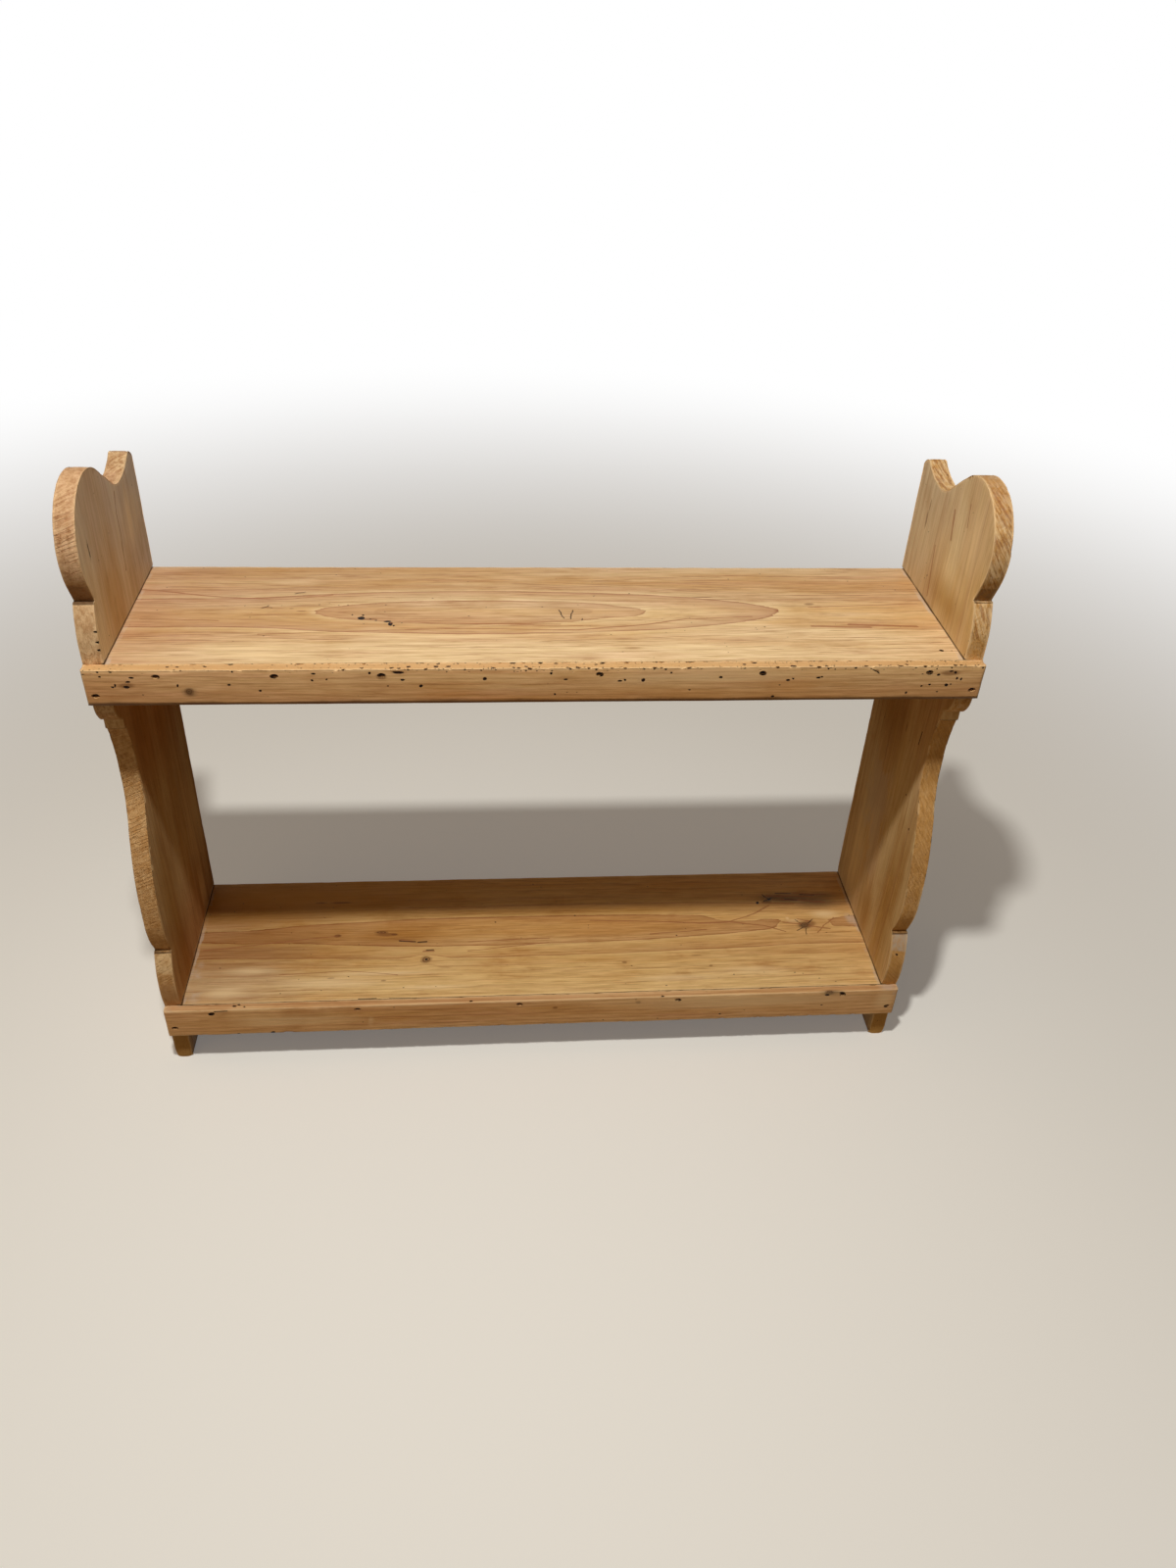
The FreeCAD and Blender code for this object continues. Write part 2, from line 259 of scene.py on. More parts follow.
    # past this many rings the board is quieter
    quiet = g.fade(count, look["quietFrom"], look["quietFrom"] + 1.0, 1.0, look["quiet"])
    strength = g.times(strength, quiet)
    onFace = g.calc("DIVIDE", look["ring"] * mm, slope)
    late = g.times(g.calc("POWER", part, look["latePower"]), strength)
    line = g.fade(g.times(g.less(1.0, part), onFace), 0.0, surface["lineWidth"], 1.0, 0.0)
    line = g.times(g.times(line, strength), g.fade(warmth, 0.36, 0.6, 0.35, 1.0))
    rim = g.times(g.fade(g.times(part, onFace), 0.0, surface["rimWidth"], 1.0, 0.0), strength)
    fineCount = g.times(count, look["fineRings"])
    finePart = g.calc("POWER", g.calc("FRACT", fineCount), 2.5)
    fineYear = g.calc("ADD", g.calc("FLOOR", fineCount), seed * 3.1)
    fine = g.times(finePart, g.add("TexWhiteNoise", {"W": fineYear}, noise_dimensions="1D").outputs["Value"])
    fine = g.times(fine, g.fade(quiet, 0.0, 1.0, 0.4, 1.0))

    # the wood's own colour, from broad to fine
    colour = g.mix(g.fade(broad, 0.38, 0.62), tones["butter"], tones["golden"])

    def lay(share, hue, way="MIX"):
        nonlocal colour
        colour = g.mix(share, colour, tones[hue], way)

    def layNoises(*rows):
        for source, start, end, key, hue in rows:
            lay(g.fade(source, start, end, 0.0, look[key]), hue)

    for axis, start, end, hue, share in look.get("zones", ()):
        across = g.scaled(uneven, 1.6 * abs(end - start), place[axis])
        lay(g.fade(across, start, end, 0.0, share), hue)
    layNoises((warmth, 0.5, 0.68, "warm", "amber"), (warmth, 0.48, 0.32, "cool", "cream"),
              (tint, 0.5, 0.62, "rosy", "rose"), (streak, 0.5, 0.72, "streaks", "patina"),
              (streak, 0.48, 0.28, "paleStreaks", "butter"))
    for share, key, hue in ((late, "heart", "heart"), (fine, "fineShare", "latewood"), (rim, "rimShare", "butter"),
                            (line, "lineShare", "latewood"), (hair, "hairs", "latewood")):
        lay(g.times(share, look[key]), hue)
    layNoises((patch, 0.52, 0.72, "wax", "patina"), (short, 0.56, 0.72, "dashes", "patina"))
    contrast = look["fibre"]
    shade = g.fade(fibre, 0.3, 0.7, 1.0 - contrast, 1.0 + 0.6 * contrast)
    shade = g.times(shade, g.fade(short, 0.32, 0.66, 1.0 + 0.5 * contrast, 1.0 - 0.5 * contrast))
    shades = {0: shade, 1: g.calc("POWER", shade, 1.2), 2: g.calc("POWER", shade, 1.7)}
    colour = g.mix(1.0, colour, g.add("CombineColor", shades).outputs[0], "MULTIPLY")
    colour = g.mix(1.0, colour, tone(*look["wash"]), "MULTIPLY")

    # sawn edges: short fibre ends, and strokes of the rasp
    cutFace = g.calc("ABSOLUTE", normal[look["cutAxis"]])
    cut = g.fade(cutFace, *look["cutRange"])
    ends = noiseOf("ends", board)
    edgeTone = g.mix(g.fade(ends, 0.36, 0.6), tones[look["edgePale"]], tones[look["edgeDeep"]])
    edgeTone = g.mix(g.fade(patch, 0.46, 0.68, 0.0, look["edgeWax"]), edgeTone, tones["patina"])
    edgeTone = g.mix(g.fade(ends, 0.54, 0.66, 0.0, 0.5), edgeTone, tones["umber"])
    strokes = g.fade(ends, 0.3, 0.7)
    for start, end, turn, share in look.get("rasped", ()):
        turned = g.add("Mapping", {"Vector": here, "Rotation": (0.0, math.radians(turn), 0.0)}).outputs[0]
        rasp = g.grain(turned, surface["raspScale"], seed + 7, 3.0, 0.6).outputs["Fac"]
        middle, reachOut = (start + end) / 2, abs(end - start) / 2
        inside = g.fade(g.calc("ABSOLUTE", g.less(place[0], middle)), reachOut * 1.2, reachOut * 0.8)
        edgeTone = g.mix(g.times(g.fade(rasp, 0.52, 0.6, 0.0, share), inside), edgeTone, tones["latewood"])
        edgeTone = g.mix(g.times(g.fade(rasp, 0.48, 0.4, 0.0, share), inside), edgeTone, tones["butter"])
        strokes = g.less(strokes, g.times(g.fade(rasp, 0.5, 0.6), inside))
    for axis, start, end, hue, share in look.get("edgeZones", ()):
        across = g.scaled(uneven, 1.2 * abs(end - start), place[axis])
        edgeTone = g.mix(g.fade(across, start, end, 0.0, share), edgeTone, tones[hue])
    notBack = g.fade(place[1], *surface["back"])
    # bands across a sawn edge at given heights, in their own tones; some are painted highlights and shade on the
    # moulding
    for start, end, hue, share in look.get("edgeBands", ()):
        middle, reachOut = (start + end) / 2, abs(end - start) / 2
        level = g.scaled(uneven, surface["bandUneven"], place[0])
        inside = g.calc("ABSOLUTE", g.less(level, middle))
        soft = surface["bandSoft"]
        inside = g.times(g.fade(inside, reachOut + soft, reachOut - soft, 0.0, share), notBack)
        inside = g.times(inside, g.fade(ends, 0.42, 0.62, 1.0, 0.4))
        edgeTone = g.mix(inside, edgeTone, tones[hue])
    colour = g.mix(g.times(cut, look["cutShare"]), colour, edgeTone)
    if "topTone" in look:
        lay(g.fade(normal[2], 0.6, 0.9, 0.0, look["topShare"]), look["topTone"])

    # painted shade: the parts between the shelves and at the feet are darkened where shade falls on them, and the
    # faces between the shelves are also duller
    paintedShadeMasks = []
    for axis, start, end, faceOnly, hue, share, soft in look.get("shadeZones", ()):
        side = math.copysign(surface["shadeZoneSoft"], start - end)
        inside = g.times(g.fade(place[axis], start + side, start - side), g.fade(place[axis], end, end + soft))
        if faceOnly:
            inside = g.times(inside, g.fade(place[2], *surface["face"]))
            inside = g.times(inside, g.less(1.0, cut))
            paintedShadeMasks.append(inside)
        lay(g.times(inside, share), hue, "MULTIPLY")

    # worn arrises
    arris = g.add("Attribute", attribute_name="arris").outputs["Fac"]
    worn = g.scaled(uneven, surface["wornUneven"], arris)
    lay(g.fade(worn, *surface["worn"], look["wornArris"], 0.0), "butter")

    # knots, then the round marks and the strokes; holes and scratches are deep
    if knots:
        lay(g.times(g.most(knots), 0.9), "knot")
    deep = []
    for kind, hue, soft, share in markKinds:
        mask = g.most(g.fade(reach(*one), 1.0 - soft, 1.0 + 0.5 * soft, 1.0, 0.0) for one in look.get(kind, ()))
        if mask is None:
            continue
        if kind == "smears":
            mask = g.times(mask, g.fade(warmth, 0.34, 0.54, 0.45, 1.0))
        if kind == "paleWoodAndLight":
            mask = g.times(mask, g.fade(streak, 0.6, 0.42, 0.3, 1.0))
        if kind == "dustAndPaintedLight":
            mask = g.times(mask, g.fade(patch, 0.44, 0.54))
        lay(g.times(mask, share), hue, "MULTIPLY" if kind == "shades" else "MIX")
        if kind == "holes":
            deep.append(mask)
    for kind, hue, share in strokeKinds:
        mask = g.most(g.fade(stroke(*one), 0.5, 1.3, 1.0, 0.0) for one in look.get(kind, ()))
        if mask:
            mask = g.times(mask, g.fade(fibre, 0.3, 0.5, 0.5, 1.0))
            lay(g.times(mask, share), hue)
            if kind == "scratches":
                deep.append(mask)

    # scattered worm holes and flecks, more of them along the top arris of a lip
    for stretch, size, share, above in look.get("flecks", ()):
        dots = g.dots(board, stretch, seed + 8 + size, share, size)
        if above:
            near = g.times(g.fade(arris, 0.0035, 0.0055, 1.0, 0.0), g.fade(place[1], above, above + 0.003))
            dots = g.times(dots, g.times(near, g.fade(warmth, 0.4, 0.52, 0.0, 1.0)))
        lay(dots, "dark")
        deep.append(dots)
    # chips in the top arris of a lip, at x and y from above
    top, front = look.get("chipHeight", 0.0) / mm, look["origin"][1] / mm
    chips = g.most(g.fade(reach(x, top, 2.2 * size, 1.5 * size, y - front, 1.4 * size), 0.75, 1.1, 1.0, 0.0)
                   for x, y, size in look.get("chips", ()))
    if chips:
        lay(chips, "dirtAndShade")
        deep.append(chips)

    # dark lines in the joints, painted shade lines along crevices and under a lip, and dusty filler beside the joints
    def besideLine(axis, seat, width, noiseSource, swing):
        # a seat over 0 is on both sides of the middle, and one under 0 on its own side only
        side = g.calc("ABSOLUTE", place[axis]) if seat > 0 else place[axis]
        away = g.calc("ABSOLUTE", g.less(side, seat))
        return g.less(away, g.times(g.less(noiseSource, 0.5), width * swing))

    for axis, seat, width, share in look.get("fillers", ()):
        lineMask = g.times(g.fade(besideLine(axis, seat, width, streak, 5.0), 0.5 * width, 1.2 * width, 1.0, 0.0),
                       g.fade(patch, 0.44, 0.58, 0.1, 1.0))
        lay(g.times(lineMask, share), "fillerAndPaleLight")
    for axis, seat, width, share, where in look.get("jointsAndShadeLines", ()):
        lineMask = g.fade(besideLine(axis, seat, width, patch, 3.0), 0.3 * width, 1.4 * width, share, 0.0)
        if where == "edge":
            lineMask = g.times(g.times(lineMask, cut), notBack)
        if where == "face":
            lineMask = g.times(lineMask, g.fade(place[2], *surface["face"]))
        lay(lineMask, "dirtAndShade")

    gloss = g.fade(patch, 0.3, 0.7, look["gloss"][0], look["gloss"][1])
    gloss = g.scaled(cut, surface["cutRough"], gloss)
    relief = g.scaled(late, 0.4, g.times(fibre, 0.45))
    relief = g.scaled(streak, 0.4, relief)
    relief = g.scaled(g.times(cut, strokes), 1.6, relief)
    bump = g.add("Bump", {"Height": relief, "Strength": surface["wearStrength"],
                          "Distance": surface["wearDepth"]}).outputs[0]
    if deep:
        sunk = g.less(1.0, g.most(deep))
        bump = g.add("Bump", {"Height": sunk, "Strength": surface["holeStrength"],
                              "Distance": surface["holeDepth"], "Normal": bump}).outputs[0]
    shine = surface["shine"]
    if paintedShadeMasks:
        shine = g.scaled(g.most(paintedShadeMasks), -shine, shine)
    return g.finish({"Base Color": colour, "Roughness": gloss, "Normal": bump, "Specular IOR Level": shine})


# boards

def placed(name, data):
    made = bpy.data.objects.new(name, data)
    bpy.context.scene.collection.objects.link(made)
    return made


# in metres: how far in an arris is remembered, what counts as one cut, and how low a foot is
arrisKept, sameCut, footBottom = 0.02, 1e-6, 1e-4


def wholeBoard(bm):
    return bm.verts[:] + bm.edges[:] + bm.faces[:]


def newBoard(low, high):
    bm = bmesh.new()
    bmesh.ops.create_cube(bm, size=1.0)
    bmesh.ops.scale(bm, vec=high - low, verts=bm.verts)
    bmesh.ops.translate(bm, vec=(low + high) / 2, verts=bm.verts)
    return bm


def roundEdges(bm, edges, width, segments):
    bmesh.ops.bevel(bm, geom=edges, offset=width, offset_type="OFFSET", segments=segments, profile=0.5,
                    affect="EDGES", clamp_overlap=True, material=-1)


def placesBetween(low, high, step, supports):
    # even cuts, with a few extra near each arris
    places = [low + support for support in supports] + [high - support for support in supports]
    inside = supports[-1] + step * 0.5
    span = high - low - 2 * inside
    count = max(1, round(span / step))
    return sorted(places + [low + inside + span * index / count for index in range(count + 1)])


def cutAcross(bm, low, high, cuts):
    # loops across the board, so that it can be worn; each cut has an axis, a step and the extra places
    for axis, step, supports in cuts:
        normal = Vector((0.0, 0.0, 0.0))
        normal[axis] = 1.0
        for place in placesBetween(low[axis], high[axis], step, supports):
            bmesh.ops.bisect_plane(bm, geom=wholeBoard(bm), dist=sameCut, plane_co=normal * place, plane_no=normal)


def divideLengthwise(bm, axis, step):
    long = [edge for edge in bm.edges if abs((edge.verts[0].co - edge.verts[1].co)[axis]) > 20 * step]
    cuts = round(max(edge.calc_length() for edge in long) / step)
    bmesh.ops.subdivide_edges(bm, edges=long, cuts=cuts, use_grid_fill=True)


def noiseAt(point, scale, shift=0.0):
    # smooth noise from 0 to 1
    spot = Vector((point.x * scale[0] + shift, point.y * scale[1], point.z * scale[2]))
    return 0.5 + 0.5 * noise.noise(spot)


def boxArris(low, high):
    # the distance to the nearest arris of a plain board
    def measure(point):
        gaps = sorted(min(abs(point[axis] - low[axis]), abs(point[axis] - high[axis])) for axis in range(3))
        return gaps[1]
    return measure


def weather(bm, arrisOf, wear, chips=()):
    # old boards: faintly wavy faces and unevenly rubbed arrises, always inside the new board
    bm.normal_update()
    layer = bm.verts.layers.float.new("arris")
    moves = []
    for vert in bm.verts:
        point = vert.co
        away = arrisOf(point)
        vert[layer] = min(away, arrisKept)
        wave = wear["wave"] * noiseAt(point, wear["waveScale"])
        rub = wear["rub"] * math.exp(-(away / wear["rubReach"]) ** 2) * noiseAt(point, wear["rubScale"], 9.0) ** 1.5
        nibble = max(0.0, noiseAt(point, wear["nibbleScale"], 31.0) - wear["nibbleFrom"])
        nibble *= wear["nibble"] * math.exp(-(away / (0.6 * wear["rubReach"])) ** 2)
        if "foot" in wear:
            low = max(0.0, 1 - point.z / wear["footHeight"])
            rub += wear["foot"] * math.exp(-(away / wear["footReach"]) ** 2) * low
        chipped = 0.0
        for chip, size in chips:
            apart = (point - chip).length / size
            if apart < 2:
                chipped = max(chipped, wear["chip"] * math.exp(-apart * apart))
        moves.append(-vert.normal * (wave + rub + nibble + chipped))
    for vert, step in zip(bm.verts, moves):
        if vert.co.z < footBottom and step.z > 0:
            step.z *= 0.3
        vert.co += step


def finishPiece(bm, name, node, look):
    bmesh.ops.recalc_face_normals(bm, faces=bm.faces)
    mesh = bpy.data.meshes.new(name)
    bm.to_mesh(mesh)
    bm.free()
    mesh.shade_smooth()
    mesh.set_sharp_from_angle(angle=math.radians(38))
    mesh.materials.append(pine(name + "Pine", look))
    piece = placed(name, mesh)
    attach(piece, "root")
    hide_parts(node)
    print(name, len(mesh.vertices), "points")


# shelves

shelfWear = {
    "wave": 0.0003, "waveScale": (7.0, 22.0, 9.0),
    "rub": 0.0006, "rubReach": 0.002, "rubScale": (40.0, 60.0, 60.0),
    "nibble": 0.002, "nibbleFrom": 0.68, "nibbleScale": (150.0, 150.0, 150.0),
}
shelfMesh = {"arris": 0.0005, "along": 0.006, "cuts": ((1, 0.011, (0.0015, 0.004)), (2, 0.008, (0.0015, 0.004)))}


def makeShelf(name, node, look):
    low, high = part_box(node)
    bm = newBoard(low, high)
    roundEdges(bm, bm.edges[:], shelfMesh["arris"], 2)
    divideLengthwise(bm, 0, shelfMesh["along"])
    cutAcross(bm, low, high, shelfMesh["cuts"])
    weather(bm, boxArris(low, high), shelfWear)
    finishPiece(bm, name, node, look)


# Looks: a board's axes are 0 along, 1 across and 2 into it. Marks are in mm from its origin: round ones have x, y,
# half length, half width, and perhaps a level and a depth; strokes have two ends and a half width. A zone has an
# axis, where it starts and is full, a tone and a share; a painted shade zone also has how wide its end fades.
upperShelfLook = dict(
    origin=(0, 0, 0.631), turn=(0, 0, 0), seed=3, wander=(0.006, 0.001), ragged=(0.0034, 0.0013), tongueMiddle=-0.071,
    tongueCurve=0.097, pithDepth=0.12, pithPlace=0.004, turnBack=(0.375, 0.12, 0.27, 0),
    bends=[(85, -25, 60, 22, 1.5)], ring=8.3, ringEdge=123.7, quietFrom=1.2, quiet=0.22, weakest=0.75, latePower=1.8,
    heart=0.75, rimShare=0.4, lineShare=0.85, fineRings=4, fineShare=0.26, streaks=0.38, paleStreaks=0.5, fibre=0.15,
    wax=0.24, warm=0.2, cool=0.45, dashes=0.14, hairs=0.45, rosy=0.24, wash=(250, 252, 255),
    zones=[(1, -0.03, -0.1, "butter", 0.85), (1, 0, 0.06, "caramel", 0.42), (0, 0.15, -0.42, "caramel", 0.24),
        (0, -0.34, -0.48, "heart", 0.55), (0, 0.37, 0.48, "heart", 0.15)],
    cutAxis=0, cutRange=(0.6, 0.8), cutShare=0.6, edgePale="biscuit", edgeDeep="caramel", edgeWax=0.3, wornArris=0.35,
    gloss=(0.42, 0.56),
    grainLines=[(-485, 64, -384, 43, 1.3), (-384, 43, -306, 38, 1.1), (-306, 38, -255, 49, 0.8),
        (325, -34, 395, -37, 2.2), (372, -30, 454, -35, 2.6), (331, 16, 473, 25, 0.9), (-470, -12, -380, -16, 0.9),
        (-180, -24, 20, -27, 1), (-40, -29, 46, -31, 0.8), (-330, -50, -118, -37, 0.9), (-118, -37, 40, -41, 1.1),
        (40, -41, 108, -31, 1.3), (108, -31, 172, -15, 1.3), (172, -15, 255, -9, 1)],
    stains=[(-331, 18, 6, 1.6), (-294, 55, 7, 1.4), (-287, 7, 6, 1.3), (334, 24, 7, 3), (-300, 14, 3, 1.2),
        (200, 43, 14, 1.2), (-205, -13, 10, 2)],
    paleWoodAndLight=[(-350, -80, 70, 6), (-170, -62, 60, 5), (-110, -58, 80, 6), (180, 8, 38, 9), (215, -68, 120, 17),
        (40, -42, 60, 7), (-330, -98, 60, 5), (-420, -106, 60, 6)],
    holes=[(-215.6, -11, 4.4, 4.6), (-214, -3, 1.5, 1.8), (-227, -2, 1.1, 1.2), (-184, -20, 4.2, 2.6),
        (-180, -26, 2.6, 4.4), (-176, -30, 1.4, 1.5), (465, -95, 2.4, 2.4), (-198, -17, 1.5, 1.2),
        (-205, -14, 1.2, 1)],
    scratches=[(21, 9, 22, -4, 0.75), (22, -4, 25, -13, 0.6), (38, 8, 34, -2, 0.7), (34, -2, 33, -14, 0.7),
        (47, -13, 46, -18, 0.6), (-336, 14, -327, 22, 0.5), (-300, 52, -288, 58, 0.5)],
    flecks=[((90, 170, 170), 0.13, 0.16, None)],
    jointsAndShadeLines=[(0, 0.4855, 0.0012, 0.9, "all"), (1, -0.11675, 0.0006, 0.75, "all")], fillers=[(0, 0.4825, 0.0024, 0.65)],
)
makeShelf("upperShelfBoard", "upper_shelf", upperShelfLook)

lowerShelfLook = dict(
    upperShelfLook, origin=(0, 0, 0.103), seed=11, tongueMiddle=-0.02, tongueCurve=0.023, pithPlace=0.012,
    turnBack=(0.42, 0.5, 0.42, 0.5), bends=[(-430, 5, 90, 30, -1.2), (300, 30, 60, 22, 2.5)], wander=(0.01, 0.0012),
    heart=0.6, streaks=0.3, paleStreaks=0.34, warm=0.34, cool=0.3, hairs=0.32, rosy=0.1, wash=(244, 236, 212),
    dashes=0.09, fineShare=0.15, wax=0.42, quiet=0.3,
    # the shades darken the left part, partly as a stain and partly as painted shade, and the back under the upper
    # shelf as painted shade; the warm shades and the ochre zone at the back are painted warm shade
    shades=[(-400, 0, 190, 66), (-440, 60, 160, 60), (-300, 90, 200, 40), (-205, 4, 90, 24)],
    warmShades=[(-430, 92, 320, 46)],
    zones=[(1, -0.04, -0.11, "butter", 0.5), (0, 0.15, 0.4, "cream", 0.3), (1, -0.055, -0.01, "amber", 0.4),
        (1, 0.04, 0.075, "ochre", 0.05), (0, -0.2, -0.46, "dusk", 0.6)],
    knots=[(404, 7, 9, 7, 6), (-160, -45, 8, 8, 4), (-226, 14, 10, 3.2, 0), (-208, 9, 5, 2, 0), (-289, 9, 5, 2.4, 0)],
    grainLines=[(-476, -15, -360, -1, 1.2), (-360, -1, -289, 9, 1.1), (-100, -11, 18, -7, 1),
        (-100, -30, 17, -17, 0.9), (200, 22, 246, 17, 1.4), (246, 17, 290, 17, 1.6), (290, 17, 330, 34, 1.2),
        (330, 34, 358, 52, 1.4), (290, 17, 340, 9, 1.2), (340, 9, 372, -6, 1.2), (81, 28, 200, 22, 1),
        (-362, -68, -269, -64, 0.8), (-269, -64, -198, -74, 0.8), (168, -4, 253, 2, 1), (434, 6, 452, 22, 1),
        (420, -10, 434, 6, 1), (358, 75, 430, 71, 1.6), (380, 66, 446, 58, 1.8), (350, 60, 396, 55, 1.2),
        (400, 80, 452, 74, 1.2), (372, 14, 398, 9, 1.4), (411, 5, 440, -2, 1.4), (396, 20, 412, 15, 1.2),
        (-196, -4, -180, -7, 2.2), (-164, -28, -150, -28, 1.8)],
    stains=[(-220, 9, 15, 4), (-289, 9, 6, 3.5), (-186, -6, 12, 1.6), (124, -62, 4, 2.5), (229, -52, 8, 1.4),
        (248, -73, 3, 2), (-290, -77, 6, 1.4), (-218, -85, 4, 1.8), (-290, 81, 16, 2.4), (-320, 81, 8, 2),
        (412, 10, 10, 8)],
    smears=[(395, 68, 56, 15), (430, 60, 38, 16), (368, 70, 26, 10), (403, 6, 10, 7), (358, 62, 12, 7),
        (415, 64, 16, 8), (378, 74, 14, 6), (446, 72, 30, 9)],
    # the last pale patch, at the back on the right, is painted light in the shade of the upper shelf
    paleWoodAndLight=[(-400, -60, 40, 10), (-290, -86, 80, 10), (-220, -70, 70, 5), (300, -85, 60, 8), (200, -95, 70, 6),
        (-150, -100, 60, 5), (-432, -100, 30, 12), (388, 16, 12, 5), (380, 22, 3, 4), (440, 30, 22, 9),
        (400, 106, 95, 15)],
    holes=[(342, 59, 2.4, 3), (-160, -45, 2.2, 2), (361, 66, 3.4, 1.8), (207, -8, 1.1, 1.1), (60, 40, 1.2, 1.2),
        (-60, 30, 1.2, 1.2)],
    scratches=[(400, 2, 390, -5, 0.6), (409, 11, 419, 19, 0.6), (404, 0, 402, -13, 0.5), (398, 11, 391, 19, 0.5),
        (366, 70, 352, 62, 0.8), (352, 78, 362, 66, 0.8), (374, 80, 398, 79, 0.8), (412, 76, 434, 74, 0.9),
        (386, 66, 404, 63, 0.8), (-250, -118, -226, -118, 0.7), (-208, -118.4, -180, -118.4, 0.5),
        (-172, -9, -160, -8, 1.2), (-160, -26, -150, -25, 1.1), (-198, -5, -176, -8, 1.1)],
    jointsAndShadeLines=[(0, 0.4855, 0.0013, 0.9, "all"), (1, -0.11925, 0.0006, 0.6, "all")], fillers=[(0, 0.4825, 0.0026, 0.5)],
    dustAndPaintedLight=[(-470, -95, 12, 22), (-474, -60, 6, 20), (476, 20, 7, 16)],
)
makeShelf("lowerShelfBoard", "lower_shelf", lowerShelfLook)


# lips

lipWear = {
    "wave": 0.0004, "waveScale": (7, 22, 20),
    "rub": 0.0009, "rubReach": 0.0028, "rubScale": (30, 60, 60),
    "nibble": 0.006, "nibbleFrom": 0.62, "nibbleScale": (210, 80, 80), "chip": 0.0009,
}
lipMesh = {"corner": 0.0035, "chamfer": 0.0018, "arris": 0.0006,
           "cuts": ((1, 0.004, (0.0012, 0.0028)), (2, 0.007, (0.0012, 0.0028, 0.0055)))}
punch = {"inner": 0.0038, "outer": 0.0044, "length": 0.02, "middle": -0.0094, "flat": 0.64,
         "raggedScale": (420, 40, 420), "holeHalf": (4.2, 2.7)}
# heads nearer than this are one nail's, and a head is this flat
sameHead, headFlat = 0.01, 0.0001


def nailPlaces(*nodes):
    # the middle of each nail's head, which is its end nearest to the front
    places = []
    for node in nodes:
        points = [vert.co.copy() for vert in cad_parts[node].data.vertices]
        front = min(point.y for point in points)
        heads = [point for point in points if point.y < front + headFlat]
        while heads:
            group = [point for point in heads if abs(point.x - heads[0].x) < sameHead]
            heads = [point for point in heads if abs(point.x - heads[0].x) >= sameHead]
            places.append(sum(group, Vector()) / len(group))
    return places


def punchHoles(bm, places):
    # ragged ovals over the punched nails, a little deeper than the heads
    tool = bmesh.new()
    for index, place in enumerate(places):
        middle = place + Vector((0, punch["middle"], 0))
        stand = Matrix.Translation(middle) @ Matrix.Rotation(math.radians(90), 4, "X")
        made = bmesh.ops.create_cone(tool, cap_ends=True, segments=18, radius1=punch["inner"],
                                     radius2=punch["outer"], depth=punch["length"], matrix=stand)
        for vert in made["verts"]:
            away = vert.co - place
            ragged = 0.85 + 0.4 * noiseAt(Vector((away.x, index * 0.05, away.z)), punch["raggedScale"])
            vert.co.x = place.x + away.x * ragged
            vert.co.z = place.z + away.z * ragged * punch["flat"]
    toolMesh = bpy.data.meshes.new("punch")
    tool.to_mesh(toolMesh)
    tool.free()
    toolObject = placed("punch", toolMesh)
    boardMesh = bpy.data.meshes.new("punched")
    bm.to_mesh(boardMesh)
    boardObject = placed("punched", boardMesh)
    cut = boardObject.modifiers.new("punch", "BOOLEAN")
    cut.operation = "DIFFERENCE"
    cut.object = toolObject
    cut.solver = "EXACT"
    bpy.context.view_layer.update()
    result = bpy.data.meshes.new_from_object(boardObject.evaluated_get(bpy.context.evaluated_depsgraph_get()))
    bm.clear()
    bm.from_mesh(result)
    for made in (toolObject, boardObject):
        bpy.data.objects.remove(made)


def makeLip(name, node, look, chamfer, nails, step):
    low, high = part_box(node)
    bm = newBoard(low, high)
    upright = [edge for edge in bm.edges if abs((edge.verts[0].co - edge.verts[1].co).z) > 0.01
               and edge.verts[0].co.y < low.y + 0.001]
    roundEdges(bm, upright, lipMesh["corner"], 4)
    if chamfer:
        deep, tall = chamfer
        cut = bmesh.ops.bisect_plane(bm, geom=wholeBoard(bm), dist=sameCut, clear_outer=True,
                                     plane_co=Vector((0, low.y, low.z + tall)), plane_no=Vector((0, -tall, -deep)))
        loop = [part for part in cut["geom_cut"] if isinstance(part, bmesh.types.BMEdge)]
        bmesh.ops.edgeloop_fill(bm, edges=loop)
        bm.normal_update()
        besideChamfer = [edge for edge in bm.edges if edge.calc_face_angle(0) > math.radians(20)
                         and abs((edge.verts[0].co - edge.verts[1].co).x) > 0.5
                         and edge.verts[0].co.z < low.z + tall + mm and edge.verts[0].co.y < low.y + deep + mm]
        roundEdges(bm, besideChamfer, lipMesh["chamfer"], 3)
    bm.normal_update()
    sharp = [edge for edge in bm.edges if edge.calc_face_angle(0) > math.radians(35)]
    roundEdges(bm, sharp, lipMesh["arris"], 2)
    divideLengthwise(bm, 0, step)
    cutAcross(bm, low, high, lipMesh["cuts"])
    punchHoles(bm, nails)
    chips = [(Vector((x * mm, y * mm, high.z)), 1.4 * size * mm) for x, y, size in look["chips"]]
    weather(bm, boxArris(low, high), lipWear, chips)
    # the wood inside each punched hole is painted dark, as the shade round the nail head
    look["holes"] = look["holes"] + [(place.x / mm, place.z / mm, *punch["holeHalf"]) for place in nails]
    finishPiece(bm, name, node, look)


